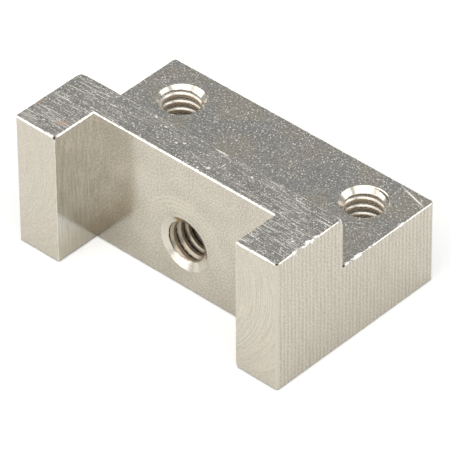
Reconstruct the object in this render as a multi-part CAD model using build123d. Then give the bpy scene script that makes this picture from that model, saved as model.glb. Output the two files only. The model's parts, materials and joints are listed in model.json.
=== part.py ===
"""Machined mounting block: one piece of aluminium bar, milled to a U-shaped clevis with a low ledge.

Seen from above the front is a U: two ears stand either side of a pocket that runs the full height.
Behind the pocket wall the block steps down to a ledge. Two tapped holes go down through the ledge
and one runs back from the middle of the pocket wall.

Frame: X along the length, the ears point to -Y, +Z is up, and the origin is the middle of the base.
All sizes are in millimetres.
"""
from build123d import *
import os

# Driving dimensions of the block
block_length = 45.0         # across both ears
block_depth = 29.9          # from the ears' front faces to the back of the ledge
block_height = 20.4         # height of the ears and of the bar behind the pocket
ledge_height = 12.7         # height of the ledge
bar_depth = 12.3            # from the ears' front faces to the step down to the ledge
pocket_depth = 7.2          # from the ears' front faces to the pocket wall
ear_width = 7.0             # thickness of each ear
corner_radius = 0.6         # of the block's four upright corners
edge_break = 0.3            # chamfer left by deburring on every other outside edge

# Tapped holes, 1/4-20 UNC, drawn at the tap drill's diameter
tap_drill_diameter = 5.11   # No. 7 drill, which the thread's crests keep
sink_angle = 90.0           # full angle of each countersink
ledge_hole_pitch = 31.7     # between the two holes in the ledge
ledge_hole_setback = 6.0    # from the back of the ledge to the holes' axes
ledge_sink_diameter = 6.65  # mouth of each hole in the ledge, top and bottom
wall_hole_height = 7.1      # from the base to the axis of the pocket wall's hole
wall_hole_depth = 15.0      # full diameter depth of the pocket wall's hole
wall_sink_diameter = 8.1    # mouth of the pocket wall's hole
drill_point_angle = 118.0   # full angle of the cone that the drill leaves

# Derived sizes
front = -block_depth / 2
back = block_depth / 2
step = front + bar_depth
pocket_wall = front + pocket_depth
pocket_width = block_length - 2 * ear_width
drill_radius = tap_drill_diameter / 2


def tan_half(full_angle):
    """Radius gained per unit of depth by a cone of the given full angle."""
    slant = Vector(0, 1).rotate(Axis.Z, -full_angle / 2)
    return slant.X / slant.Y


def sink_depth(mouth_diameter):
    """Depth at which a countersink has narrowed to the tap drill's diameter."""
    return (mouth_diameter - tap_drill_diameter) / 2 / tan_half(sink_angle)


def stepped_blank():
    """Full-length bar with an L-shaped end: tall at the front, a low ledge behind."""
    outline = Polyline(
        (front, 0),
        (back, 0),
        (back, ledge_height),
        (step, ledge_height),
        (step, block_height),
        (front, block_height),
        close=True,
    )
    section = Plane.YZ * make_face(outline)
    return extrude(section, block_length / 2, both=True)


def pocket():
    """Rectangular slot between the ears, open at the front, the top and the base."""
    outline = Pos(0, (front + pocket_wall) / 2) * Rectangle(pocket_width, pocket_depth)
    return extrude(outline, block_height)


def outer_uprights(body):
    """The four upright corners, at the ears' outsides and at the ends of the ledge's back."""
    upright = body.edges().filter_by(Axis.Z)
    return upright.group_by(Axis.Y)[0].sort_by(Axis.X)[::3] + upright.group_by(Axis.Y)[-1]


def inside_corners(body):
    """The sharp corners that the cutter leaves: two in the pocket and one under the step."""
    in_pocket = body.edges().filter_by(Axis.Z).filter_by_position(Axis.Y, pocket_wall, pocket_wall)
    on_ledge = body.edges().filter_by(Axis.X).filter_by_position(Axis.Z, ledge_height, ledge_height)
    return in_pocket + on_ledge.sort_by(Axis.Y)[:1]


def deburred(body):
    """The body with rounded upright corners and a light chamfer on every other outside edge."""
    body = fillet(outer_uprights(body), corner_radius)
    return chamfer(body.edges() - inside_corners(body), edge_break)


def hole_tool(drill_depth, sink_diameter):
    """Drill and countersink as one turned cutter, its mouth at the origin and its point at -Z."""
    sink = sink_depth(sink_diameter)
    point = drill_radius / tan_half(drill_point_angle)
    half_section = Polyline(
        (0, 0),
        (sink_diameter / 2, 0),
        (drill_radius, -sink),
        (drill_radius, -drill_depth),
        (0, -drill_depth - point),
        close=True,
    )
    return revolve(Plane.XZ * make_face(half_section), Axis.Z)


def ledge_hole(x):
    """Hole down through the ledge, countersunk at both ends."""
    y = back - ledge_hole_setback
    from_above = Pos(x, y, ledge_height) * hole_tool(ledge_height, ledge_sink_diameter)
    from_below = Pos(x, y, 0) * Rot(X=180) * hole_tool(ledge_height / 2, ledge_sink_diameter)
    return from_above + from_below


def wall_hole():
    """Blind hole that runs back from the middle of the pocket wall."""
    return Pos(0, pocket_wall, wall_hole_height) * Rot(X=90) * hole_tool(
        wall_hole_depth, wall_sink_diameter
    )


def mounting_block():
    """The finished block."""
    body = deburred(stepped_blank() - pocket())
    for x in (-ledge_hole_pitch / 2, ledge_hole_pitch / 2):
        body -= ledge_hole(x)
    return body - wall_hole()


os.makedirs("parts", exist_ok=True)
export_step(mounting_block(), "parts/mounting_block.step")
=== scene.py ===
"""Machined mounting block in milled aluminium, dressed around its CAD model.

The block is one closed mesh on the levels that the frame gives. Its outside edges are broken with a file and
worn, its three holes are tapped with real 1/4-20 threads, and each face keeps the finish that its cut left.
Lengths are in metres. X runs along the block, the ears point to -Y, and +Z is up.
"""

import json
import math
from functools import partial
from types import SimpleNamespace

import bpy
import numpy as np
from bpy.props import FloatProperty, FloatVectorProperty, PointerProperty
from mathutils import Matrix, Vector
from mathutils.geometry import delaunay_2d_cdt


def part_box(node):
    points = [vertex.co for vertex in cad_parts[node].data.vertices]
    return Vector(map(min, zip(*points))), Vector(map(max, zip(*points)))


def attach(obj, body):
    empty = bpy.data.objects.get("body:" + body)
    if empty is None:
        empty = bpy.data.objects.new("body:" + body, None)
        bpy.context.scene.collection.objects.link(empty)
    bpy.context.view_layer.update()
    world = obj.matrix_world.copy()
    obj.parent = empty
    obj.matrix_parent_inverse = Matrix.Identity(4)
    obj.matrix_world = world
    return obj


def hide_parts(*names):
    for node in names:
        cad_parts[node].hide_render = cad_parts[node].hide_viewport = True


bl_info = {
    "name": "Machined Mounting Block",
    "version": (1, 0, 0),
    "blender": (4, 5, 0),
    "location": "3D View > Sidebar > Mounting Block",
    "description": "Milled aluminium mounting block with tapped holes, on a pale studio floor",
    "category": "Add Mesh",
}

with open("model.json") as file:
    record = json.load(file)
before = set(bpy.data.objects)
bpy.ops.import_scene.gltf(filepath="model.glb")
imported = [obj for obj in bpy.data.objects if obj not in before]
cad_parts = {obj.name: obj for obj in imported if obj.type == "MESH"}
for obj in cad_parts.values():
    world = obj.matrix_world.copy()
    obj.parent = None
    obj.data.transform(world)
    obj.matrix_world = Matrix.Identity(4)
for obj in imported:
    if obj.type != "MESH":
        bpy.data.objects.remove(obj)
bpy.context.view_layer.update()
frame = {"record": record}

MM = 0.001
BLOCK = "mounting_block"
MOUNTS = {mount["name"]: mount for mount in frame["record"]["mounts"]}


def linear(hex_colour):
    """Linear RGBA of an sRGB hex colour such as "#C8C2B6"."""
    channels = [int(hex_colour[i:i + 2], 16) / 255 for i in (1, 3, 5)]
    return [c / 12.92 if c <= 0.04045 else ((c + 0.055) / 1.055) ** 2.4 for c in channels] + [1.0]


# --- settings

def number(name, description, default, **more):
    """A setting that is a plain number."""
    return FloatProperty(name=name, description=description, default=default, **more)


def length(name, description, millimetres):
    """A length setting whose default is given in millimetres."""
    return number(name, description, millimetres * MM, unit="LENGTH", precision=5)


def colour(name, description, hex_colour):
    """A colour setting whose default is given as an sRGB hex value."""
    return FloatVectorProperty(
        name=name, description=description, default=linear(hex_colour), size=4, subtype="COLOR", min=0, max=1
    )


def angle(name, description, degrees):
    """An angle setting whose default is given in degrees."""
    return number(name, description, math.radians(degrees), subtype="ANGLE")


class BlockSettings(bpy.types.PropertyGroup):
    """Sizes and colours of the block that the CAD model leaves to the dressed one."""

    edge_break: length("Edge break", "Width of the flat filed on the edges along the block", 0.19)
    end_break: number("End break", "Share of that width at the block's two ends", 0.6)
    upright_break: number("Upright break", "Share of it on the upright edges", 0.2)
    front_radius: length("Front corner radius", "Radius of the upright corners at the ears", 0.35)
    back_radius: length("Back corner radius", "Radius of the upright corners behind the ledge", 0.6)
    edge_step: length("Edge step", "Distance between the points that carry an edge's wear", 0.12)
    wear: number("Wear", "How far wear changes an edge break's width", 0.5, min=0)
    blunting: number("Blunting", "How far the bar's back corners are knocked off", 1.2, min=0)
    burr: number("Burr", "How far burrs widen an edge break", 5.5, min=0)
    thread_pitch: length("Thread pitch", "Pitch of the tapped threads, 20 to the inch", 1.27)
    thread_diameter: length("Thread diameter", "Major diameter of the tapped threads", 6.35)
    ledge_sink: length("Ledge countersink", "Mouth of the countersinks on the ledge's holes", 6.65)
    wall_sink: length("Wall countersink", "Mouth of the countersink on the pocket wall's hole", 8.1)
    ledge_sink_angle: angle("Ledge countersink angle", "Full angle of the ledge holes' countersinks", 90)
    wall_sink_angle: angle("Wall countersink angle", "Full angle of the pocket wall's, made by a drill", 118)
    drill_point: angle("Drill point", "Full angle of the cone at the blind hole's end", 118)
    feed: length("Side feed", "Distance between the feed marks on the two sides", 0.68)
    # Top metal and side metal are one alloy. The side metal's warmer tint, which the top metal lacks, is
    # painted: it stands for the warm light that the sides reflect.
    top_metal: colour("Top metal", "Scratched aluminium of the top faces", "#E2DFD6")
    side_metal: colour("Side metal", "Aluminium as a sharp cutter leaves it", "#D6CFC1")
    # The cheeks' metal is a lighter copy of the side metal: painted light, so that the pocket, where the
    # metal sees the floor only through two reflections, comes out brighter.
    cheek_metal_painted_lighter: colour("Cheek metal", "The cleanest cut, inside the ears", "#E3E0D8")
    bright_metal: colour("Bright metal", "Aluminium on edges that a file has just broken", "#F4F0E6")
    residue: colour("Residue", "Cutting oil dried in the threads", "#BCA282")
    stain: colour("Stain", "Oil stains on the left ear", "#B88A62")


class StudioSettings(bpy.types.PropertyGroup):
    """Camera, lamps and floor."""

    azimuth: angle("Camera azimuth", "Turn of the view from the front towards the right side", 42.897)
    elevation: angle("Camera elevation", "Height of the view above the horizon", 39.013)
    roll: angle("Camera roll", "Turn of the camera about its own axis", 0.548)
    lens: number("Lens", "Focal length on a 36 mm sensor", 439.16, subtype="DISTANCE_CAMERA")
    distance: length("Camera distance", "From the camera to the point it looks at", 702.59)
    aim: FloatVectorProperty(
        name="Aim", description="Point the camera looks at", subtype="TRANSLATION", unit="LENGTH",
        default=[c * MM for c in (1.502, -1.656, 7.441)],
    )
    floor_width: length("Floor width", "Side of the square floor", 6000)
    floor_colour: colour("Floor colour", "Matt white board", "#D6D6D4")
    glow: number("Glow", "Light that the eye and metal see added to the floor", 0.42)
    front_light: number("Front softbox", "Power of the long softbox", 3.4, subtype="POWER")
    right_light: number("Right softbox", "Power of the short softbox", 0.95, subtype="POWER")
    tent_sides: number("Tent sides", "Brightness of the light tent's sides", 0.4)
    tent_panel: number("Tent panel", "Brightness of the lit panel overhead", 1.9)


# --- mesh tools

LATTICE = 32  # cells along each axis, after which the noise repeats


def lattice_noise(points, width, seed):
    """Smooth noise between -1 and 1: random values on a cubic lattice with cells of the given width. A point
    takes the values of its cell's eight corners, each weighted by 3t^2 - 2t^3 along the three axes."""
    values = np.random.default_rng(seed).uniform(-1, 1, (LATTICE, LATTICE, LATTICE))
    cell, part = np.divmod(points / width, 1)
    part = part * part * (3 - 2 * part)
    total = np.zeros(len(points))
    for corner in np.ndindex(2, 2, 2):
        weight = np.where(corner, part, 1 - part).prod(axis=1)
        total += weight * values[tuple(((cell.astype(int) + corner) % LATTICE).T)]
    return total


def straight_run(start, end, step, margin):
    """Points strictly between two corners: the first and the last stand a margin off, and the rest divide
    what is left evenly. They are worked out from the lower corner, so both faces of an edge get the same."""
    low, high = sorted((tuple(start), tuple(end)))
    low, high = np.array(low), np.array(high)
    span = np.linalg.norm(high - low)
    count = round((span - 2 * margin) / step)
    if count < 1:
        return np.empty((0, 3))
    share = np.linspace(margin, span - margin, count + 1)[:, None] / span
    points = low + share * (high - low)
    return points if tuple(start) == tuple(low) else points[::-1]


def outline(stations, step, margin):
    """Closed outline through stations in turn. A station is a corner or the points of an arc, and straight
    runs of points join each station's last point to the next one's first."""
    stations = [np.atleast_2d(station) for station in stations]
    parts = []
    for station, following in zip(stations, stations[1:] + stations[:1]):
        parts += [station, straight_run(station[-1], following[0], step, margin)]
    return np.concatenate(parts)


# --- the block's shell

FINISHES = ("top", "ledge", "side", "ear", "wall", "cheek", "corner", "edge", "thread")
SMOOTH = ("corner", "edge", "thread")
SHARP_ANGLE = math.radians(32)  # smooth faces that meet more steeply still show an edge
ARC_STEPS = 6                   # flats around a rounded upright corner
CORNER_MARGIN = 0.8 * MM        # left free of points at an edge's ends, where its bevel turns
WELD = 1e-5 * MM                # points closer than this are one point
ON_LEVEL = 1e-4 * MM            # points closer than this to a level lie on it


def block_levels():
    """Levels of the block's faces along each axis, from its box and the flat faces that the record names."""
    low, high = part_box(BLOCK)
    place = {name: mount["pos_m"] for name, mount in MOUNTS.items()}
    return SimpleNamespace(
        left=low.x, right=high.x, front=low.y, back=high.y, base=low.z, top=high.z,
        pocket_left=place["left_ear_inside"][0], pocket_right=place["right_ear_inside"][0],
        wall=place["pocket_wall"][1], step=place["step_face"][1], ledge=place["ledge"][2],
    )


def coarse_block(at, settings):
    """The block with sharp edges, as [(finish, outline), ...]. Every outline runs counter-clockwise seen
    from outside. Each rounded upright corner is a quarter circle, centre + radius * (cos t, sin t), carried
    from base to top."""
    def quarter(x, y, first_degrees, radius):
        """Plan of one rounded corner, counter-clockwise from above."""
        turn = np.radians(np.linspace(first_degrees, first_degrees + 90, ARC_STEPS + 1))
        inward_x, inward_y = (radius if x < 0 else -radius), (radius if y < 0 else -radius)
        return np.stack([x + inward_x + radius * np.cos(turn), y + inward_y + radius * np.sin(turn)], axis=1)

    def lift(plan, z):
        """A plan at a height."""
        plan = np.atleast_2d(plan)
        return np.column_stack([plan, np.full(len(plan), z)])

    front_left = quarter(at.left, at.front, 180, settings.front_radius)
    front_right = quarter(at.right, at.front, 270, settings.front_radius)
    back_right = quarter(at.right, at.back, 0, settings.back_radius)
    back_left = quarter(at.left, at.back, 90, settings.back_radius)
    pocket = [
        (at.pocket_left, at.front), (at.pocket_left, at.wall),
        (at.pocket_right, at.wall), (at.pocket_right, at.front),
    ]
    around_ears = [front_left, *pocket, front_right]
    step_ends = [(at.right, at.step), (at.left, at.step)]

    def level(plans, z):
        """The outline of a level face, seen from above."""
        return [lift(plan, z) for plan in plans]

    def from_behind(stations):
        """The same outline, seen from its other side."""
        return [station[::-1] for station in reversed(stations)]

    def wall(start, end, z_low, z_high):
        """An upright face from one plan point to the next, with the outside on its right."""
        return [lift(start, z_low), lift(end, z_low), lift(end, z_high), lift(start, z_high)]

    def stepped_side(front_end, step_end, back_end):
        """A side face: tall in front of the step and low behind it."""
        return [
            lift(front_end, at.base), lift(back_end, at.base), lift(back_end, at.ledge),
            lift(step_end, at.ledge), lift(step_end, at.top), lift(front_end, at.top),
        ]

    faces = [
        ("top", level([*around_ears, *step_ends], at.top)),
        ("ledge", level([step_ends[1], step_ends[0], back_right, back_left], at.ledge)),
        ("wall", from_behind(level([*around_ears, back_right, back_left], at.base))),
        ("side", stepped_side(front_right[-1], step_ends[0], back_right[0])),
        ("side", from_behind(stepped_side(front_left[0], step_ends[1], back_left[-1]))),
        ("wall", wall(step_ends[0], step_ends[1], at.ledge, at.top)),
        ("wall", wall(back_right[-1], back_left[0], at.base, at.ledge)),
    ]
    turns = [front_left[-1], *pocket, front_right[0]]
    for finish, start, end in zip(("ear", "cheek", "wall", "cheek", "ear"), turns, turns[1:]):
        faces.append((finish, wall(start, end, at.base, at.top)))
    corners = ((front_left, at.top), (front_right, at.top), (back_right, at.ledge), (back_left, at.ledge))
    for plan, height in corners:
        faces += [("corner", wall(a, b, at.base, height)) for a, b in zip(plan, plan[1:])]
    return [(finish, outline(stations, settings.edge_step, CORNER_MARGIN)) for finish, stations in faces]


def welded(outlines):
    """(points, faces) of outlines that share their edges' points: equal points become one."""
    points = np.concatenate(outlines)
    places = np.round(points / WELD).astype(np.int64)
    _, first, index = np.unique(places, axis=0, return_index=True, return_inverse=True)
    ends = np.cumsum([len(o) for o in outlines])[:-1]
    return points[first], [face.tolist() for face in np.split(index.ravel(), ends)]


def broken_edges(points, edges, at):
    """1 for each edge that a file has broken and 0 for the rest, which are the pocket's two inside corners,
    the corner under the step, and the lines along the rounded corners."""
    def on(axis, level):
        """True for the edges that lie on a level of an axis."""
        return (abs(points[edges][:, :, axis] - level) < ON_LEVEL).all(axis=1)

    upright = (np.ptp(points[edges][:, :, :2], axis=1) < ON_LEVEL).all(axis=1)
    ear_inside = on(1, at.front) & (on(0, at.pocket_left) | on(0, at.pocket_right))
    under_step = on(1, at.step) & on(2, at.ledge)
    return np.where(upright, ear_inside | on(1, at.step), ~under_step).astype(np.float32)


def filed(points, faces, finishes, at, settings):
    """The coarse block with its edges broken by a Bevel modifier, as (points, faces, finishes)."""
    mesh = bpy.data.meshes.new("coarse")
    mesh.from_pydata(points, [], faces)
    mesh.polygons.foreach_set("material_index", [FINISHES.index(finish) for finish in finishes])
    for _ in FINISHES:
        mesh.materials.append(None)
    edges = np.empty(2 * len(mesh.edges), np.int64)
    mesh.edges.foreach_get("vertices", edges)
    weight = mesh.attributes.new("bevel_weight_edge", "FLOAT", "EDGE")
    weight.data.foreach_set("value", broken_edges(points, edges.reshape(-1, 2), at))
    blank = bpy.data.objects.new("coarse", mesh)
    bpy.context.scene.collection.objects.link(blank)
    bevel = blank.modifiers.new("Broken edges", "BEVEL")
    bevel.limit_method = "WEIGHT"
    bevel.width = settings.edge_break
    bevel.segments = 3
    bevel.profile = 0.3
    bevel.use_clamp_overlap = False
    bevel.material = FINISHES.index("edge")
    result = bpy.data.meshes.new_from_object(blank.evaluated_get(bpy.context.evaluated_depsgraph_get()))
    bpy.data.objects.remove(blank)
    filed_points = np.empty(3 * len(result.vertices))
    result.vertices.foreach_get("co", filed_points)
    filed_faces = [list(polygon.vertices) for polygon in result.polygons]
    filed_finishes = [FINISHES[polygon.material_index] for polygon in result.polygons]
    for used in (mesh, result):
        bpy.data.meshes.remove(used)
    return filed_points.reshape(-1, 3), filed_faces, filed_finishes


def burr_lumps(points, at):
    """Height of the burrs' lumps at each point, from about -0.2 to 1: noise, times how burred the metal is
    there, which is a sum of bells, exp(-(distance / reach)^2)."""
    burrs = [
        # place, reach in millimetres, amount
        ((at.right, at.front + 5.9 * MM, at.top), 1.0, 1.0),
        ((at.right, at.front + 7.3 * MM, at.top), 0.7, 0.7),
        ((at.right, at.front + 3.6 * MM, at.top), 1.0, 0.35),
        ((at.right, at.step + 1.8 * MM, at.ledge), 1.4, 0.62),
        ((at.right, at.step + 4.4 * MM, at.ledge), 1.0, 0.45),
        ((at.right, at.step + 11.6 * MM, at.ledge), 0.6, 0.35),
        ((at.pocket_left, at.front, at.top), 0.7, 0.12),
    ]
    burred = np.zeros(len(points))
    for place, reach, amount in burrs:
        distance = np.linalg.norm(points - place, axis=1)
        burred += amount * np.exp(-(distance / (reach * MM)) ** 2)
    return burred * np.clip(lattice_noise(points, 0.42 * MM, 3) + 0.3, -0.2, 1)


BLUNT_REACH = 0.6 * MM
GROWTH_LIMITS = (-0.5, 5)
BATCHES = 40  # the distances between points are worked out in batches, to save memory


def worn(points, sharp_points, at, settings):
    """Broken edges as use leaves them. Each point p of an edge break came from the nearest point s of the
    sharp block, and goes to s + (p - s) * width * (1 + growth), so points on a flat face stay on it. The
    width is 1, and less on upright edges and at the block's two ends. Growth is fine and coarse noise, and
    in a burr it is lumps that only widen the break. The two corners at the bar's back are blunted as well,
    by a bell like a burr's."""
    nearest = np.empty(len(points), np.int64)
    for batch in np.array_split(np.arange(len(points)), BATCHES):
        gap = points[batch, None, :] - sharp_points[None, :, :]
        nearest[batch] = np.einsum("ijk,ijk->ij", gap, gap).argmin(axis=1)
    source = sharp_points[nearest]
    from_end = np.minimum(source[:, 0] - at.left, at.right - source[:, 0])
    width = 1 - (1 - settings.end_break) * np.clip(1 - from_end / settings.back_radius, 0, 1)
    levels = np.array([at.base, at.top, at.ledge])
    off_level = abs(source[:, 2, None] - levels).min(axis=1) > ON_LEVEL
    width = np.where(off_level, settings.upright_break, width)
    fine = lattice_noise(points, 0.22 * MM, 1)
    coarse = lattice_noise(points, 1.1 * MM, 2)
    growth = settings.wear * (0.5 * fine + 0.5 * coarse) + settings.burr * burr_lumps(points, at)
    for end in (at.left, at.right):
        distance = np.linalg.norm(source - (end, at.step, at.top), axis=1)
        growth += settings.blunting / settings.end_break * np.exp(-(distance / BLUNT_REACH) ** 2)
    return source + (points - source) * (width * (1 + np.clip(growth, *GROWTH_LIMITS)))[:, None]


# --- tapped holes

COLUMNS = 120                 # points around a hole
SEEN_DEPTH = 5.5 * MM         # as far down a hole as the eye sees
SEEN_ROWS, DEEP_ROWS = 24, 8  # rows of points in each pitch, above that depth and below it
BELL_REACH = 1.6 * MM
HALF_THREAD_ANGLE = math.radians(30)


class Hole(SimpleNamespace):
    """A tapped hole: where its mouth is, which way it opens, and what shapes its wall. The bell is how far
    the first crests are cut back, and the rounding how far the tap has rounded them all. A crest lies at
    crest_depth below the mouth where the turn is crest_turn."""

    def points(self, depth, turn, radius):
        """mouth - depth * outward + radius * (cos turn * sideways + sin turn * upward), on arrays."""
        outward, sideways = np.array(self.outward), np.array((1, 0, 0))
        upward = np.cross(outward, sideways)
        across = np.cos(turn)[..., None] * sideways + np.sin(turn)[..., None] * upward
        return self.mouth - depth[..., None] * outward + radius[..., None] * across


def tapped_holes(at, settings):
    """The block's three holes, on the axes that the record's mounts give."""
    holes = []
    for name, crest_depth in (("ledge_hole_left", 0.145 * MM), ("ledge_hole_right", 0.62 * MM)):
        x, y, _ = MOUNTS[name]["pos_m"]
        holes.append(Hole(
            mouth=(x, y, at.ledge), outward=(0, 0, 1), depth=at.ledge - at.base,
            drill_radius=MOUNTS[name]["dims"]["r_mm"] * MM,
            sink_radius=settings.ledge_sink / 2, sink_angle=settings.ledge_sink_angle,
            bell=0, rounding=0.5, crest_depth=crest_depth, crest_turn=math.radians(132.9), through=True,
        ))
    x, y, z = MOUNTS["pocket_wall_hole"]["pos_m"]
    dims = MOUNTS["pocket_wall_hole"]["dims"]
    holes.append(Hole(
        mouth=(x, at.wall, z), outward=(0, -1, 0), depth=y + dims["length_mm"] * MM / 2 - at.wall,
        drill_radius=dims["r_mm"] * MM,
        sink_radius=settings.wall_sink / 2, sink_angle=settings.wall_sink_angle,
        bell=0.55 * MM, rounding=0.1, crest_depth=1.1 * MM, crest_turn=math.radians(230), through=False,
    ))
    return holes


def thread_radius(hole, depth, turn, settings):
    """Radius of a tapped wall, and how far from crest to root it is. Along the axis the radius repeats with
    the pitch: a flat crest at the drill's radius, a flank out to the major radius, a flat an eighth of the
    pitch wide, and a flank back. A flank is as wide as a 60 degree thread's, but the tap has rounded its
    crest: for a share g of its width it is (1 - r) * g + r * g^8 of the way out, where r is the hole's
    rounding. The crest's depth falls by one pitch for each full turn counter-clockwise from the mouth, which
    makes the thread right-handed. Near the mouth the crests are cut back by bell * exp(-depth / reach), and
    a blind hole's thread runs out over its last turns. The countersink is a cone, sink radius - depth *
    slope, which wins wherever it is wider, and its groove is given as 2."""
    pitch, major = settings.thread_pitch, settings.thread_diameter / 2
    flank = (major - hole.drill_radius) * math.tan(HALF_THREAD_ANGLE)
    crest = pitch - pitch / 8 - 2 * flank
    phase = (depth - hole.crest_depth + pitch * (turn - hole.crest_turn) / (2 * math.pi)) % pitch
    from_crest = np.minimum(phase, pitch - phase)
    groove = np.clip((from_crest - crest / 2) / flank, 0, 1)
    groove = (1 - hole.rounding) * groove + hole.rounding * groove ** 8
    if not hole.through:
        run_out = 1.5 * pitch
        groove = groove * np.clip((hole.depth - depth) / run_out, 0, 1)
    drilled = hole.drill_radius + hole.bell * np.exp(-depth / BELL_REACH)
    radius = drilled + (major - drilled) * groove
    from_mouth = np.minimum(depth, hole.depth - depth) if hole.through else depth
    sink = hole.sink_radius - math.tan(hole.sink_angle / 2) * from_mouth
    return np.maximum(radius, sink), np.where(sink > radius, 2, groove)


def hole_wall(hole, settings):
    """Wall of a hole as a grid over (depth, turn), with the thread's radius at each place. Rows are close
    together near the mouth, where the thread is seen. Returns (points, faces, crest) with crest 1 on the
    thread's crests, 0 in its roots and -1 on a countersink."""
    pitch = settings.thread_pitch
    seen = min(SEEN_DEPTH, hole.depth / 2)
    deep_steps = round((hole.depth - seen) / (pitch / DEEP_ROWS))
    rows = np.concatenate([
        np.arange(0, seen, pitch / SEEN_ROWS), np.linspace(seen, hole.depth, deep_steps + 1),
    ])
    turn = np.linspace(0, 2 * math.pi, COLUMNS, endpoint=False)
    depth, turn = np.meshgrid(rows, turn, indexing="ij")
    radius, groove = thread_radius(hole, depth, turn, settings)
    points = hole.points(depth, turn, radius).reshape(-1, 3)
    crest = (1 - groove).ravel()
    start = np.arange(len(rows) - 1)[:, None] * COLUMNS
    here, following = np.arange(COLUMNS), (np.arange(COLUMNS) + 1) % COLUMNS
    quads = (start + here, start + following, start + COLUMNS + following, start + COLUMNS + here)
    faces = np.stack(quads, axis=-1).reshape(-1, 4).tolist()
    if not hole.through:
        tip_depth = hole.depth + hole.drill_radius / math.tan(settings.drill_point / 2)
        tip = hole.points(np.array([tip_depth]), np.zeros(1), np.zeros(1))
        last = len(points) - COLUMNS
        faces += np.column_stack([last + here, last + following, np.full(COLUMNS, len(points))]).tolist()
        points, crest = np.vstack([points, tip]), np.append(crest, 1)
    return points, faces, crest


def holed_face(points, face, rings):
    """Triangles that fill a flat face around rings, as indices into points. The face and the rings are drawn
    in the face's own plane, in millimetres, and joined by a constrained Delaunay triangulation that leaves
    the rings open. The triangles are turned to the side of the face's normal, the sum of its neighbouring
    corners' cross products."""
    corners = points[face]
    spans = np.ptp(corners, axis=0)
    flat = [axis for axis in range(3) if axis != spans.argmin()]
    index = np.concatenate([face, *rings])
    plan = [Vector(point) for point in points[index][:, flat] / MM]
    loops, start = [], 0
    for loop in (face, *rings):
        loops.append(list(range(start, start + len(loop))))
        start += len(loop)
    inside_with_holes, closest = 2, 1e-7
    _, _, made, origins, *_ = delaunay_2d_cdt(plan, [], loops, inside_with_holes, closest)
    back = np.array([origin[0] for origin in origins])
    triangles = index[back[np.array(made)]]
    normal = np.cross(corners, np.roll(corners, -1, axis=0)).sum(axis=0)
    a, b, c = (points[triangles[:, i]] for i in range(3))
    turned = np.einsum("ij,j->i", np.cross(b - a, c - a), normal) < 0
    triangles[turned] = triangles[turned][:, ::-1]
    return triangles.tolist()


def holed_level(corners, at):
    """Name of the face with holes that a polygon is, or None where it is another."""
    for name, axis in (("ledge", 2), ("base", 2), ("wall", 1)):
        if len(corners) > 4 and (abs(corners[:, axis] - getattr(at, name)) < ON_LEVEL).all():
            return name
    return None


def block_mesh(settings):
    """The whole block as one closed mesh: worn shell, holed faces and tapped walls, each with its finish."""
    at = block_levels()
    coarse = coarse_block(at, settings)
    sharp_points, faces = welded([points for _, points in coarse])
    points, faces, finishes = filed(sharp_points, faces, [finish for finish, _ in coarse], at, settings)
    points = worn(points, sharp_points, at, settings)

    crest = np.zeros(len(points))
    rings = {"ledge": [], "base": [], "wall": []}
    wall_faces = []
    for hole in tapped_holes(at, settings):
        wall_points, new_faces, wall_crest = hole_wall(hole, settings)
        start = len(points)
        wall_faces += [[start + i for i in face] for face in new_faces]
        mouth = np.arange(start, start + COLUMNS)
        if hole.through:
            far = start + len(wall_points) - COLUMNS
            rings["ledge"].append(mouth)
            rings["base"].append(np.arange(far, far + COLUMNS))
        else:
            rings["wall"].append(mouth)
        points, crest = np.vstack([points, wall_points]), np.append(crest, wall_crest)

    final_faces, final_finishes = [], []
    for face, finish in zip(faces, finishes):
        holed = holed_level(points[face], at)
        new = holed_face(points, face, rings[holed]) if holed else [face]
        final_faces += new
        final_finishes += [finish] * len(new)
    final_faces += wall_faces
    final_finishes += ["thread"] * len(wall_faces)

    mesh = bpy.data.meshes.new("milled_block")
    mesh.from_pydata(points, [], final_faces)
    mesh.polygons.foreach_set("material_index", [FINISHES.index(finish) for finish in final_finishes])
    for name, values in (("crest", crest), ("burr", burr_lumps(points, at))):
        mesh.attributes.new(name, "FLOAT", "POINT").data.foreach_set("value", values.astype(np.float32))
    mesh.set_sharp_from_angle(angle=SHARP_ANGLE)
    mesh.polygons.foreach_set("use_smooth", [finish in SMOOTH for finish in final_finishes])
    mesh.update()
    return mesh


# --- finishes

def fill_inputs(node, inputs):
    """Gives a node's inputs their values, or links them where a value is another node's output."""
    for name, value in inputs.items():
        if isinstance(value, bpy.types.NodeSocket):
            node.id_data.links.new(value, node.inputs[name])
        else:
            node.inputs[name].default_value = value


def add_node(tree, kind, inputs, output=0, **settings):
    """Adds a node with its settings, inputs and links, and returns one of its outputs. A kind is the node's
    type without "ShaderNode". On a Mix node of colours, input 0 is the share, 6 and 7 are the two colours,
    and output 2 is the mix."""
    node = tree.nodes.new("ShaderNode" + kind)
    for name, value in settings.items():
        setattr(node, name, value)
    fill_inputs(node, inputs)
    return node.outputs[output]


def new_metal(name):
    """A metal named for its finish, as (material, function that adds a node to it, object coordinates)."""
    material = bpy.data.materials.new(name)
    material.use_nodes = True
    add = partial(add_node, material.node_tree)
    return material, add, add("TexCoord", {}, "Object")


def finish_metal(material, add, colour, roughness, height, rise, matt=None, layers=()):
    """Sets the shader of a metal, which keeps the default IOR. The height is bumped by so many millimetres,
    and light is scattered evenly where the matt pattern is 1. Layers are colours laid on in turn, each by
    its own pattern."""
    for share, layer in layers:
        colour = add("Mix", {0: share, 6: colour, 7: layer}, 2, data_type="RGBA")
    bump = add("Bump", {"Height": height, "Distance": rise * MM, "Strength": 1.0})
    metallic = 1.0 if matt is None else add("Math", {0: 1.0, 1: matt}, operation="SUBTRACT")
    shader = material.node_tree.nodes["Principled BSDF"]
    fill_inputs(shader, {"Base Color": colour, "Metallic": metallic, "Roughness": roughness, "Normal": bump})
    return material


def grain(size):
    """Scale of a noise whose grains are so many millimetres wide. Real specks and file marks are finer than
    the eye resolves, so in every finish they are drawn 0.2 to 0.3 mm wide."""
    return 1 / (size * MM)


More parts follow.
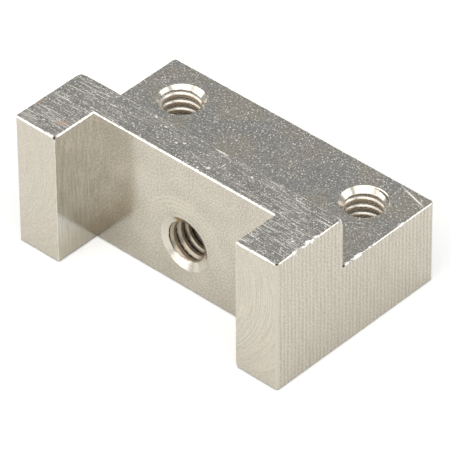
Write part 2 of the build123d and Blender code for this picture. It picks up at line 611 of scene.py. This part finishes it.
def long_grained(add, here, detail, *sizes):
    """Noise whose grains measure so many millimetres along X, Y and Z."""
    stretched = add("Mapping", {"Vector": here, "Scale": [grain(size) for size in sizes]})
    return add("TexNoise", {"Vector": stretched, "Scale": 1, "Detail": detail})


def spaced(distance):
    """Scale of a wave whose bands stand so far apart: at scale k a band repeats every 2 pi / (20 k)."""
    return 2 * math.pi / (20 * distance)


def darker(colour, share):
    """A colour with only a share of its light."""
    return [share * channel for channel in colour[:3]] + [1.0]


def summed(add, total, *parts):
    """Sum of patterns: the first as it is, and each of the others times its weight."""
    for weight, pattern in parts:
        total = add("Math", {0: pattern, 1: weight, 2: total}, operation="MULTIPLY_ADD")
    return total


def toned(add, pattern, low, high, dark, light):
    """Colour that runs from dark to light as a pattern rises from low to high."""
    share = add("MapRange", {"Value": pattern, "From Min": low, "From Max": high})
    return add("Mix", {0: share, 6: dark, 7: light}, 2, data_type="RGBA")


def marked(add, here, height, marks):
    """1 inside marks on a level face and 0 outside, with a soft rim. A mark is an ellipse: the x and y of
    its middle, half its length and half its width in millimetres, and its turn in degrees."""
    total = 0.0
    for x, y, half_length, half_width, degrees in marks:
        within = add("Mapping", {
            "Vector": here, "Location": (x * MM, y * MM, height), "Rotation": (0, 0, math.radians(degrees)),
            "Scale": (half_length * MM, half_width * MM, half_width * MM),
        }, vector_type="TEXTURE")
        share = add("TexGradient", {"Vector": within}, "Fac", gradient_type="SPHERICAL")
        share = add("MapRange", {"Value": share, "From Min": 0.05, "From Max": 0.5})
        total = add("Math", {0: total, 1: share}, operation="MAXIMUM")
    return total


def fly_cut_top(settings):
    """Aluminium, fly cut along the block: bright scratches over the ears, fine specks over the bar between
    them, torn flecks, deeper scratches where the bar has been knocked, bright marks right at the bar's back
    edge that are painted glints, standing for glints on that edge's break, and oil stains on the left ear.
    The scratches are finer than the eye resolves, so they are drawn 0.1 mm wide and scatter light as specks
    do."""
    material, add, here = new_metal("fly_cut_aluminium")
    top = block_levels().top
    # The first marks, right at the bar's back edge, are painted glints that stand for glints on that edge's
    # break; the rest are knocks.
    knocks_and_painted_glints = marked(add, here, top, [
        (2.3, -2.9, 1.5, 0.16, 1), (-2.3, -2.8, 0.5, 0.15, 5), (-1.2, -2.8, 0.35, 0.15, -20),
        (-8.9, -3.1, 0.4, 0.16, -20), (-6.6, -3.8, 0.35, 0.18, 0), (-3.4, -5.3, 0.3, 0.2, 0),
        (-2.5, -4.7, 0.3, 0.2, 30), (3.1, -6.4, 0.45, 0.28, 40), (4.2, -4.7, 0.5, 0.1, 80),
        (2.0, -7.2, 0.3, 0.15, 0), (8.5, -4.1, 0.3, 0.16, 0), (20.8, -10.1, 0.35, 0.2, 70),
    ])
    stain = marked(add, here, top, [(-16.95, -12.05, 1.5, 0.5, 43), (-22.1, -10.6, 0.9, 0.35, 90)])
    streaks = long_grained(add, here, 1, 2.6, 0.11, 1)
    specks = add("TexNoise", {"Vector": here, "Scale": grain(0.22), "Detail": 1})
    stain = add("Math", {0: stain, 1: specks}, operation="MULTIPLY")
    patches = add("TexNoise", {"Vector": here, "Scale": grain(3), "Detail": 1})
    x = add("Math", {0: add("SeparateXYZ", {"Vector": here}, "X")}, operation="ABSOLUTE")
    at_ears = add("MapRange", {"Value": x, "From Min": 10 * MM, "From Max": 16 * MM, "To Min": 0.35})
    lines = add("MapRange", {"Value": streaks, "From Min": 0.59, "From Max": 0.67, "To Max": 0.75})
    lines = add("Math", {0: lines, 1: at_ears}, operation="MULTIPLY")
    flecks = add("MapRange", {"Value": specks, "From Min": 0.62, "From Max": 0.72})
    scattered = add("Math", {0: flecks, 1: lines}, operation="MAXIMUM")
    scattered = add("Math", {0: scattered, 1: knocks_and_painted_glints}, operation="MAXIMUM")
    matt = add("Math", {0: scattered, 1: stain}, operation="MAXIMUM")
    tone = summed(add, specks, (0.5, streaks), (0.2, patches))
    colour = toned(add, tone, 0.66, 0.98, darker(settings.top_metal, 0.6), settings.top_metal)
    layers = [(scattered, settings.bright_metal), (stain, settings.stain)]
    return finish_metal(material, add, colour, 0.34, tone, 0.04, matt, layers)


def milled_ledge(settings):
    """Aluminium, end milled: an even speckle with warm and cool patches, sparse torn flecks, and a line
    scribed across the right back corner."""
    material, add, here = new_metal("end_milled_ledge")
    scribed = marked(add, here, block_levels().ledge, [(20.05, 13.72, 3.2, 0.17, -16)])
    specks = add("TexNoise", {"Vector": here, "Scale": grain(0.22), "Detail": 1})
    patches = add("TexNoise", {"Vector": here, "Scale": grain(6), "Detail": 1})
    flecks = add("MapRange", {"Value": specks, "From Min": 0.63, "From Max": 0.73})
    scattered = add("Math", {0: flecks, 1: scribed}, operation="MAXIMUM")
    metal = toned(add, patches, 0.4, 0.65, linear("#DEDDD8"), linear("#E3DCCE"))
    tone = summed(add, specks, (0.2, patches))
    dark = add("MapRange", {"Value": tone, "From Min": 0.42, "From Max": 0.72, "To Min": 0.4, "To Max": 0})
    layers = [(dark, linear("#000000")), (scattered, settings.bright_metal)]
    return finish_metal(material, add, metal, 0.36, specks, 0.04, scattered, layers)


def striped_side(settings):
    """Aluminium, side milled: soft upright feed marks, one for each turn of the cutter, and a mottle."""
    material, add, here = new_metal("side_milled_aluminium")
    marks = add("TexWave", {
        "Vector": here, "Scale": spaced(settings.feed), "Distortion": 1.6, "Detail": 2, "Detail Scale": 0.5,
    }, "Fac", bands_direction="Y")
    brush = long_grained(add, here, 2, 0.3, 0.3, 5)
    mottle = add("TexNoise", {"Vector": here, "Scale": grain(0.25), "Detail": 1})
    height = summed(add, brush, (0.4, marks), (2.2, mottle))
    colour = toned(add, height, 1.35, 2.15, darker(settings.side_metal, 0.68), settings.side_metal)
    return finish_metal(material, add, colour, 0.3, height, 0.004)


def fly_cut_ear(settings):
    """Aluminium, faced by a cutter 29 mm across: faint arcs of its radius that follow each other along X and
    are nearly worn away on the left ear. Along one arc, x - sqrt(radius^2 - (z - its middle)^2) is the same,
    so the patterns are drawn across that."""
    material, add, here = new_metal("faced_ear_aluminium")
    cutter_radius, cutter_height, feed = 14.5 * MM, 14 * MM, 0.38 * MM
    x = add("SeparateXYZ", {"Vector": here}, "X")
    z = add("SeparateXYZ", {"Vector": here}, "Z")
    below = add("Math", {0: z, 1: cutter_height}, operation="SUBTRACT")
    rest = add("Math", {0: below, 1: below}, operation="MULTIPLY")
    rest = add("Math", {0: cutter_radius ** 2, 1: rest}, operation="SUBTRACT")
    bow = add("Math", {0: rest}, operation="SQRT")
    bow = add("Math", {0: x, 1: bow}, operation="SUBTRACT")
    across = add("CombineXYZ", {"X": bow, "Z": z})
    rings = add("TexWave", {
        "Vector": across, "Scale": spaced(feed), "Distortion": 0.6, "Detail": 1, "Detail Scale": 0.3,
    }, "Fac")
    arcs = long_grained(add, across, 2, 0.3, 1, 6)
    mottle = add("TexNoise", {"Vector": here, "Scale": grain(0.3), "Detail": 2})
    height = summed(add, arcs, (0.2, rings))
    kept = add("MapRange", {"Value": x, "From Max": 1 * MM, "To Min": 0.45})
    height = add("Mix", {0: kept, 2: 0.6, 3: height}, "Result")
    height = summed(add, height, (0.9, mottle))
    colour = toned(add, height, 0.75, 1.3, darker(settings.side_metal, 0.74), settings.side_metal)
    return finish_metal(material, add, colour, 0.32, height, 0.006)


def milled_wall(settings):
    """Aluminium, finished by the side of an end mill: smooth, with a faint mottle, and fainter rings that a
    spot facer left above the pocket wall's hole."""
    material, add, here = new_metal("end_milled_aluminium")
    ring_feed, outermost = 0.66 * MM, 7.8 * MM
    x, _, z = MOUNTS["pocket_wall_hole"]["pos_m"]
    from_hole = add("Mapping", {"Vector": here, "Location": (-x, 0, -z)})
    from_hole = add("VectorMath", {0: from_hole, 1: (1, 0, 1)}, operation="MULTIPLY")
    rings = add("TexWave", {
        "Vector": from_hole, "Scale": spaced(ring_feed),
    }, "Fac", wave_type="RINGS", rings_direction="Y")
    distance = add("VectorMath", {0: from_hole}, "Value", operation="LENGTH")
    faded = add("MapRange", {
        "Value": distance, "From Min": outermost - 1 * MM, "From Max": outermost, "To Min": 0.2, "To Max": 0,
    })
    up = add("SeparateXYZ", {"Vector": from_hole}, "Z")
    above = add("MapRange", {"Value": up, "From Min": 3.5 * MM, "From Max": 5.5 * MM})
    rings = add("Math", {0: rings, 1: faded}, operation="MULTIPLY")
    rings = add("Math", {0: rings, 1: above}, operation="MULTIPLY")
    mottle = add("TexNoise", {"Vector": here, "Scale": grain(0.25), "Detail": 1})
    clouds = add("TexNoise", {"Vector": here, "Scale": grain(4), "Detail": 1})
    height = summed(add, mottle, (0.3, clouds), (1, rings))
    # Painted shade: the lightest tone is 0.96 of the side metal, darker for the shade in the pocket.
    dark, light = darker(settings.side_metal, 0.7), darker(settings.side_metal, 0.96)
    return finish_metal(material, add, toned(add, height, 0.5, 0.8, dark, light), 0.17, mottle, 0.003)


def milled_cheek(settings):
    """Aluminium, finished by the side of an end mill as it plunged: smooth and clean, with a faint upright
    grain. It darkens towards the base: painted shade, for the shaded floor of the pocket that it reflects."""
    material, add, here = new_metal("plunge_milled_aluminium")
    brush = long_grained(add, here, 2, 0.3, 0.3, 3)
    mottle = add("TexNoise", {"Vector": here, "Scale": grain(0.3), "Detail": 2})
    height = summed(add, brush, (0.7, mottle))
    z = add("SeparateXYZ", {"Vector": here}, "Z")
    # Painted shade: the cheek darkens from 7 mm down to 2 mm above the base, for the shaded pocket floor it
    # reflects.
    painted_base_shade = add("MapRange", {
        "Value": z, "From Min": 2 * MM, "From Max": 7 * MM, "To Min": 0.7, "To Max": 0,
    })
    # cheek_metal_painted_lighter is a lighter copy of the side metal: painted light for the pocket.
    colour = toned(add, height, 0.65, 1.05, darker(settings.cheek_metal_painted_lighter, 0.76), settings.cheek_metal_painted_lighter)
    return finish_metal(material, add, colour, 0.17, height, 0.003, layers=[(painted_base_shade, linear("#BFB5A1"))])


def wheeled_corner(settings):
    """Aluminium, rounded on a deburring wheel: even and slightly dull."""
    material, add, here = new_metal("wheeled_aluminium")
    mottle = add("TexNoise", {"Vector": here, "Scale": grain(0.25), "Detail": 2})
    return finish_metal(material, add, darker(settings.side_metal, 0.88), 0.3, mottle, 0.003)


def filed_edge(settings):
    """Aluminium, filed: the brightest metal on the block, with fine file marks. Burrs are torn, so they
    scatter light. Three exposed corners are nicked and dark. The edges that stand on the floor darken within
    0.25 mm of it: painted contact shade."""
    material, add, here = new_metal("filed_aluminium")
    burr = add("Attribute", {}, "Fac", attribute_name="burr")
    torn = add("MapRange", {"Value": burr, "From Min": 0.06, "From Max": 0.2})
    at = block_levels()
    nicks = marked(add, here, at.top, [(22.35, -14.8, 0.34, 0.34, 0), (-15.6, -14.9, 0.5, 0.5, 0)])
    nick_at_step = marked(add, here, at.ledge, [(22.45, -2.4, 0.4, 0.4, 0)])
    z = add("SeparateXYZ", {"Vector": here}, "Z")
    # Painted contact shade: the filed edges darken towards the floor, where the shadow under the block
    # falls.
    painted_contact_shade = add("MapRange", {
        "Value": z, "From Min": 0.08 * MM, "From Max": 0.25 * MM, "To Min": 0.8, "To Max": 0,
    })
    nicks_and_painted_shade = add("Math", {0: nicks, 1: nick_at_step}, operation="MAXIMUM")
    nicks_and_painted_shade = add("Math", {0: nicks_and_painted_shade, 1: painted_contact_shade}, operation="MAXIMUM")
    marks = add("TexNoise", {"Vector": here, "Scale": grain(0.2), "Detail": 2})
    colour = toned(add, marks, 0.3, 0.55, darker(settings.bright_metal, 0.7), settings.bright_metal)
    # 3A352E is the dark of the nicks and of the painted contact shade.
    layers = [(torn, linear("#FFFEFA")), (nicks_and_painted_shade, linear("#3A352E"))]
    return finish_metal(material, add, colour, 0.28, marks, 0.008, torn, layers)


def tapped_thread(settings):
    """Aluminium, tapped: flanks torn slightly rough, roots darkened by painted shade, and cutting oil dried
    to a dull brown film on the crests. The countersinks are cleaner. The blind hole is darker, with less
    film, and an oily mark near the top of its mouth. The crest attribute is 1 on crests, 0 in roots and -1
    on countersinks."""
    material, add, here = new_metal("tapped_aluminium")
    crest = add("Attribute", {}, "Fac", attribute_name="crest")
    smears = add("TexNoise", {"Vector": here, "Scale": grain(0.6), "Detail": 3})
    x = add("Math", {0: add("SeparateXYZ", {"Vector": here}, "X")}, operation="ABSOLUTE")
    in_blind_hole = add("Math", {0: x, 1: settings.wall_sink}, operation="LESS_THAN")
    on_thread = add("MapRange", {"Value": crest, "From Min": -1, "From Max": 0})
    on_crest = add("MapRange", {"Value": crest, "From Min": 0.8})
    patchy = add("MapRange", {
        "Value": smears, "From Min": 0.35, "From Max": 0.6, "To Min": 0.5, "To Max": 0.9,
    })
    thinner = add("MapRange", {"Value": in_blind_hole, "To Min": 1, "To Max": 0.6})
    film = add("Math", {0: on_crest, 1: patchy}, operation="MULTIPLY")
    film = add("Math", {0: film, 1: thinner}, operation="MULTIPLY")
    torn = add("MapRange", {"Value": crest, "From Max": 0.3, "To Min": 0.05, "To Max": 0.4})
    matt = add("Math", {0: torn, 1: film}, operation="MAXIMUM")
    # Painted shade: the thread darkens in its roots, where the crests above shade them; #6A6056 is that
    # shade.
    painted_root_shade = add("MapRange", {"Value": crest, "From Max": 0.25, "To Min": 1, "To Max": 0})
    painted_root_shade = add("Math", {0: painted_root_shade, 1: on_thread}, operation="MULTIPLY")
    thread = add("Mix", {0: in_blind_hole, 6: linear("#EAE6DC"), 7: linear("#AEA493")}, 2, data_type="RGBA")
    cone = add("Mix", {0: in_blind_hole, 6: linear("#DAD4C8"), 7: linear("#D4CEC2")}, 2, data_type="RGBA")
    colour = add("Mix", {0: on_thread, 6: cone, 7: thread}, 2, data_type="RGBA")
    oily = marked(add, here, 10.4 * MM, [(-1.3, -7.45, 0.8, 0.75, 0)])
    layers = [(film, settings.residue), (painted_root_shade, linear("#6A6056")), (oily, linear("#B89A5C"))]
    roughness = add("MapRange", {"Value": on_thread, "To Min": 0.21, "To Max": 0.27})
    return finish_metal(material, add, colour, roughness, smears, 0.01, matt, layers)


FINISH_MAKERS = (  # in the order of FINISHES
    fly_cut_top, milled_ledge, striped_side, fly_cut_ear, milled_wall, milled_cheek,
    wheeled_corner, filed_edge, tapped_thread,
)


# --- operators

class MakeBlock(bpy.types.Operator):
    """Make the milled block with its tapped holes and its finishes"""

    bl_idname = "mounting_block.make_block"
    bl_label = "Mounting block"

    def execute(self, context):
        settings = context.scene.mounting_block
        mesh = block_mesh(settings)
        for maker in FINISH_MAKERS:
            mesh.materials.append(maker(settings))
        block = bpy.data.objects.new("milled_block", mesh)
        context.scene.collection.objects.link(block)
        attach(block, "root")
        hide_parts(BLOCK)
        return {"FINISHED"}


class MakeStudio(bpy.types.Operator):
    """Make the pale floor, the softboxes, the room and the camera"""

    bl_idname = "mounting_block.make_studio"
    bl_label = "Studio"

    def execute(self, context):
        settings = context.scene.mounting_studio
        make_floor(context.scene, settings)
        make_lamps(context.scene, settings)
        make_room(context.scene, settings)
        make_camera(context.scene, settings)
        context.scene.view_settings.view_transform = "Standard"
        return {"FINISHED"}


FLOOR_GAP = 0.002 * MM
LAMP_DISTANCE = 0.75


def make_floor(scene, settings):
    """A flat square board under the block: x and y run over a grid of four corners, and z is just below the
    base. The eye and the metal see it glow, so that it looks pale without more light on the block. The glow
    fades very close to the block, and in reflections for some way around it, as light under a block does."""
    half = settings.floor_width / 2
    x, y = np.meshgrid([-half, half], [-half, half])
    z = np.full(x.shape, -FLOOR_GAP)
    mesh = bpy.data.meshes.new("floor")
    mesh.from_pydata(np.stack([x, y, z], axis=-1).reshape(-1, 3), [], [(0, 1, 3, 2)])
    material = bpy.data.materials.new("matt_white_board")
    material.use_nodes = True
    tree = material.node_tree
    add = partial(add_node, tree)
    board = tree.nodes["Principled BSDF"]
    fill_inputs(board, {"Base Color": settings.floor_colour, "Roughness": 0.9, "Specular IOR Level": 0.1})
    rays = ("Is Camera Ray", "Is Glossy Ray", "Is Transmission Ray")
    camera, glossy, through = (add("LightPath", {}, ray) for ray in rays)
    near, wide = (add("AmbientOcclusion", {"Distance": reach}, "AO") for reach in (0.25 * MM, 15 * MM))
    seen = add("Math", {0: camera, 1: through}, operation="ADD")
    seen = add("Math", {0: glossy, 1: wide, 2: seen}, operation="MULTIPLY_ADD")
    strength = add("Math", {0: seen, 1: settings.glow}, operation="MULTIPLY")
    strength = add("Math", {0: strength, 1: near}, operation="MULTIPLY")
    glow = add("Emission", {"Strength": strength})
    both = add("AddShader", {0: board.outputs[0], 1: glow})
    tree.links.new(both, tree.nodes["Material Output"].inputs["Surface"])
    mesh.materials.append(material)
    floor = bpy.data.objects.new("floor", mesh)
    scene.collection.objects.link(floor)


def make_lamps(scene, settings):
    """A long softbox in front of the block and a short one to its right, each turned towards it."""
    lamps = [
        # name, direction from the block, width and height in metres, power
        ("front_softbox", (-0.43, -0.74, 0.42), 1.3, 0.48, settings.front_light),
        ("right_softbox", (0.62, 0.58, 0.53), 0.5, 0.34, settings.right_light),
    ]
    for name, direction, width, height, power in lamps:
        lamp = bpy.data.lights.new(name, "AREA")
        lamp.shape = "RECTANGLE"
        lamp.size, lamp.size_y = width, height
        lamp.energy = power
        holder = bpy.data.objects.new(name, lamp)
        away = Vector(direction).normalized()
        holder.location = away * LAMP_DISTANCE
        holder.rotation_euler = (-away).to_track_quat("-Z", "Y").to_euler()
        holder.visible_camera = False
        scene.collection.objects.link(holder)


def make_room(scene, settings):
    """A light tent: a white horizon, dim sides, and a lit panel overhead on the camera's side. The panel
    fades with the cosine of the angle from its middle, and the horizon with the height of each direction."""
    world = bpy.data.worlds.new("light_tent")
    world.use_nodes = True
    add = partial(add_node, world.node_tree)
    way = add("TexCoord", {}, "Generated")
    height = add("SeparateXYZ", {"Vector": way}, "Z")
    horizon = add("MapRange", {
        "Value": height, "From Min": 0.02, "From Max": 0.04, "To Min": 1, "To Max": 0,
    })
    panel = Vector((0.33, -0.36, 0.87)).normalized()
    from_panel = add("VectorMath", {0: way, 1: panel}, "Value", operation="DOT_PRODUCT")
    tent = add("MapRange", {
        "Value": from_panel, "From Min": 0.76, "From Max": 0.88,
        "To Min": settings.tent_sides, "To Max": settings.tent_panel,
    }, interpolation_type="SMOOTHSTEP")
    strength = add("Math", {0: horizon, 1: tent}, operation="MAXIMUM")
    fill_inputs(world.node_tree.nodes["Background"], {"Color": linear("#FFFFFF"), "Strength": strength})
    scene.world = world


def make_camera(scene, settings):
    """The camera stands off its aim along (sin a cos e, -cos a cos e, sin e), from its azimuth and
    elevation."""
    a, e = settings.azimuth, settings.elevation
    away = Vector((math.sin(a) * math.cos(e), -math.cos(a) * math.cos(e), math.sin(e)))
    lens = bpy.data.cameras.new("camera")
    lens.lens = settings.lens
    lens.sensor_width = 36
    lens.clip_start, lens.clip_end = 0.01, 100
    camera = bpy.data.objects.new("camera", lens)
    turn = (-away).to_track_quat("-Z", "Y").to_matrix() @ Matrix.Rotation(-settings.roll, 3, "Z")
    camera.matrix_world = Matrix.Translation(Vector(settings.aim) + away * settings.distance) @ turn.to_4x4()
    scene.collection.objects.link(camera)
    scene.camera = camera


class MountingBlockPanel(bpy.types.Panel):
    """Lists the block's operators and settings"""

    bl_idname = "VIEW3D_PT_mounting_block"
    bl_label = "Mounting Block"
    bl_space_type = "VIEW_3D"
    bl_region_type = "UI"
    bl_category = "Mounting Block"

    def draw(self, context):
        scene = context.scene
        for operator, group in ((MakeBlock, scene.mounting_block), (MakeStudio, scene.mounting_studio)):
            self.layout.operator(operator.bl_idname)
            for name in group.__annotations__:
                self.layout.prop(group, name)


CLASSES = (BlockSettings, StudioSettings, MakeBlock, MakeStudio, MountingBlockPanel)


def register():
    for item in CLASSES:
        bpy.utils.register_class(item)
    bpy.types.Scene.mounting_block = PointerProperty(type=BlockSettings)
    bpy.types.Scene.mounting_studio = PointerProperty(type=StudioSettings)


def unregister():
    del bpy.types.Scene.mounting_studio
    del bpy.types.Scene.mounting_block
    for item in reversed(CLASSES):
        bpy.utils.unregister_class(item)


def main():
    """Makes everything in order."""
    register()
    bpy.ops.mounting_block.make_studio()
    bpy.ops.mounting_block.make_block()


if __name__ == "__main__":
    main()
